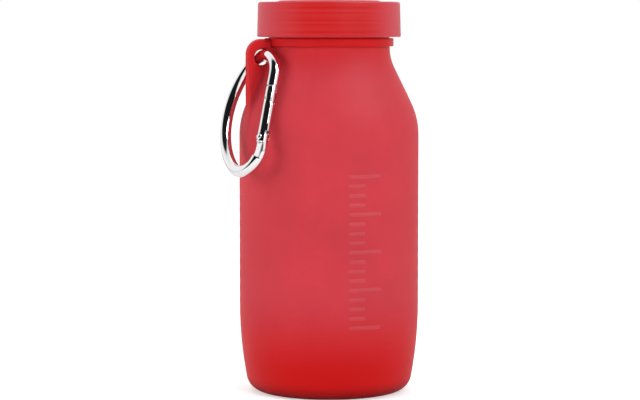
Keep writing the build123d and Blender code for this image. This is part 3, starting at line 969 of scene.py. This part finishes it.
def clip_gate():
    """Tube slotted at both ends, bored for the plunger and its spring."""
    profile = rounded(cylinder(ROD_R, GATE_BOTTOM, GATE_TOP), [0.35, 0.35], 0.1)
    tube = turned(resample(profile, 4.0), (GATE_X, 0), "y", 64)
    obj = mesh_object("carabiner_gate_tube", *tube, [chrome])
    for low, high in ((GATE_BOTTOM - 1, LOWER_SLOT_TOP), (UPPER_SLOT_BOTTOM, GATE_TOP + 1)):
        cut(obj, box_parts((GATE_X - 5, low, -SLOT_HALF), (GATE_X + 5, high, SLOT_HALF)))
    cut(obj, turned(cylinder(BORE_R, BORE_BOTTOM, BORE_TOP), (GATE_X, 0), "y", 40))
    for radius, y in ((PIVOT_PIN_R, PIVOT_Y), (LATCH_PIN_R, LATCH_Y)):
        cut(obj, turned(cylinder(radius, -PAST_ROD, PAST_ROD), (GATE_X, y), "z"))
    for low, high in ((-PAST_ROD, -PIVOT_SEAT), (PIVOT_SEAT, PAST_ROD)):
        cut(obj, turned(cylinder(PIVOT_SEAT_R, low, high), (GATE_X, PIVOT_Y), "z"))
    bevelled(obj, 0.08)
    piece(placed(obj), "carabiner_gate", "gate")


def rivet(name, half, y, segments, mat, node):
    """Pin through the gate at y; half is one head's profile, from its middle to the shank."""
    profile = [(r, -z) for r, z in half] + half[::-1]
    obj = mesh_object(name, *turned(profile, (GATE_X, y), "z", segments), [mat])
    piece(placed(sharp_smooth(obj, 40)), node, "gate")


def rivets():
    rivet("gate_pivot_rivet",
          [(0, 2.85), (0.55, 2.83), (0.95, 2.72), (1.22, 2.5), (1.3, 2.2), (1.28, PIVOT_SEAT),
           (PIVOT_PIN_R, PIVOT_SEAT)], PIVOT_Y, 40, chrome, "gate_pivot_pin")
    rivet("gate_latch_rivet", [(0, 2.2), (0.45, 2.17), (LATCH_PIN_R, 2.02)],
          LATCH_Y, 32, steel, "gate_latch_pin")


def plunger():
    low = PIVOT_Y + CAM_HEIGHT + PLUNGER_GAP
    neck, top = low + PLUNGER_HEAD, low + PLUNGER_LONG
    points = [(0, low), (PLUNGER_R, low), (PLUNGER_R, neck),
              (STEM_R, neck), (STEM_R, top), (0, top)]
    profile = rounded(points, [0.2, 0.15, 0.1, 0.3], 0.08)
    obj = mesh_object("gate_plunger_pin", *turned(profile, (GATE_X, 0), "y", 40), [steel])
    piece(placed(sharp_smooth(obj, 50)), "gate_plunger", "plunger")


def spring():
    path = []
    for k in range(SPRING_COILS * COIL_STEPS + 1):
        t = k / (SPRING_COILS * COIL_STEPS)
        a = 2 * math.pi * SPRING_COILS * t
        path.append((GATE_X + SPRING_R * math.cos(a),
                     SPRING_LOW + (SPRING_HIGH - SPRING_LOW) * t, SPRING_R * math.sin(a)))
    obj = placed(mesh_object("gate_coil_spring", *tube_parts(path, WIRE_R, 10), [steel]))
    piece(obj, "gate_spring", "gate")
    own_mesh(obj)


# ---------------------------------------------------------------- stage, light, camera

def stage():
    """Pale floor; it glows for the camera alone, more with distance, so it fades to white."""
    corners = [(x * FLOOR_HALF, y * FLOOR_HALF, 0) for x, y in ((-1, -1), (1, -1), (1, 1), (-1, 1))]
    floor = mesh_object("floor", corners, [(0, 1, 2, 3)], [], scale=1.0)
    mat, nodes, links, shader = new_material("floor_white")
    shade = ramp(nodes, links, noise(nodes, links, 3.0, 2.0),
                 [(0.4, (0.90,) * 3), (0.6, (0.92,) * 3)])
    links.new(shade, shader.inputs["Base Color"])
    coords = nodes.new("ShaderNodeTexCoord")
    length = nodes.new("ShaderNodeVectorMath")
    length.operation = "LENGTH"
    links.new(coords.outputs["Object"], length.inputs[0])
    away = spread(nodes, links, length.outputs["Value"], 1.0, FLOOR_GAIN,
                  from_min=FLOOR_NEAR, from_max=FLOOR_FAR)
    rays = nodes.new("ShaderNodeLightPath")
    seen = calculated(nodes, links, "MULTIPLY", rays.outputs["Is Camera Ray"], away)
    glow = calculated(nodes, links, "MULTIPLY", seen, FLOOR_GLOW)
    links.new(glow, shader.inputs["Emission Strength"])
    set_inputs(shader, Roughness=0.9, Specular_IOR_Level=0.1, Emission_Color=(1.0, 1.0, 1.0, 1.0))
    floor.data.materials.append(mat)


def aimed(obj, place, aim):
    """Puts a light or camera at place, looking at aim."""
    obj.location = place
    obj.rotation_euler = (Vector(aim) - Vector(place)).to_track_quat("-Z", "Y").to_euler()
    bpy.context.scene.collection.objects.link(obj)


def area_light(name, place, aim, size, power, mirrored):
    """Square softbox; a mirrored one shows only in reflections, the others never do."""
    data = bpy.data.lights.new(name, "AREA")
    data.shape = "RECTANGLE"
    data.size = data.size_y = size
    data.energy = power
    obj = bpy.data.objects.new(name, data)
    obj.visible_glossy = mirrored
    obj.visible_diffuse = not mirrored
    aimed(obj, place, aim)


def sky(nodes, links, across, stops, strength):
    """Background whose brightness follows the direction's component along across."""
    coords = nodes.new("ShaderNodeTexCoord")
    along = nodes.new("ShaderNodeVectorMath")
    along.operation = "DOT_PRODUCT"
    along.inputs[1].default_value = Vector(across).normalized()
    links.new(coords.outputs["Generated"], along.inputs[0])
    bands = spread(nodes, links, along.outputs["Value"], from_min=-1.0)
    background = nodes.new("ShaderNodeBackground")
    set_inputs(background, Strength=strength)
    links.new(ramp(nodes, links, bands, [(at, (grey,) * 3) for at, grey in stops]),
              background.inputs["Color"])
    return background.outputs["Background"]


def world():
    """White studio, dark towards the camera, with a sharper edge in reflections."""
    studio = bpy.data.worlds.new("studio")
    bpy.context.scene.world = studio
    studio.use_nodes = True
    nodes, links = studio.node_tree.nodes, studio.node_tree.links
    light = sky(nodes, links, (0, 1, 0), SKY_STOPS, SKY_STRENGTH)
    mirror = sky(nodes, links, MIRROR_ACROSS, MIRROR_STOPS, 1.0)
    plain = nodes["Background"]
    set_inputs(plain, Color=(1.0, 1.0, 1.0, 1.0), Strength=1.0)
    rays = nodes.new("ShaderNodeLightPath")
    for flag, shader in (("Is Glossy Ray", mirror), ("Is Camera Ray", plain.outputs["Background"])):
        mix = nodes.new("ShaderNodeMixShader")
        links.new(rays.outputs[flag], mix.inputs["Fac"])
        links.new(light, mix.inputs[1])
        links.new(shader, mix.inputs[2])
        light = mix.outputs["Shader"]
    links.new(light, nodes["World Output"].inputs["Surface"])


def camera():
    data = bpy.data.cameras.new("camera")
    data.sensor_width = 36.0
    data.lens = CAMERA_LENS
    data.clip_start = 0.01
    obj = bpy.data.objects.new("camera", data)
    aimed(obj, CAMERA_PLACE, CAMERA_AIM)
    bpy.context.scene.camera = obj


bpy.context.scene.view_settings.view_transform = "Standard"
silicone_bottle()
neck_ring()
neck_insert()
cap_outer()
cap_inner()
gasket()
clip_frame()
clip_gate()
rivets()
plunger()
spring()
stage()
world()
for light in LIGHTS:
    area_light(*light)
camera()
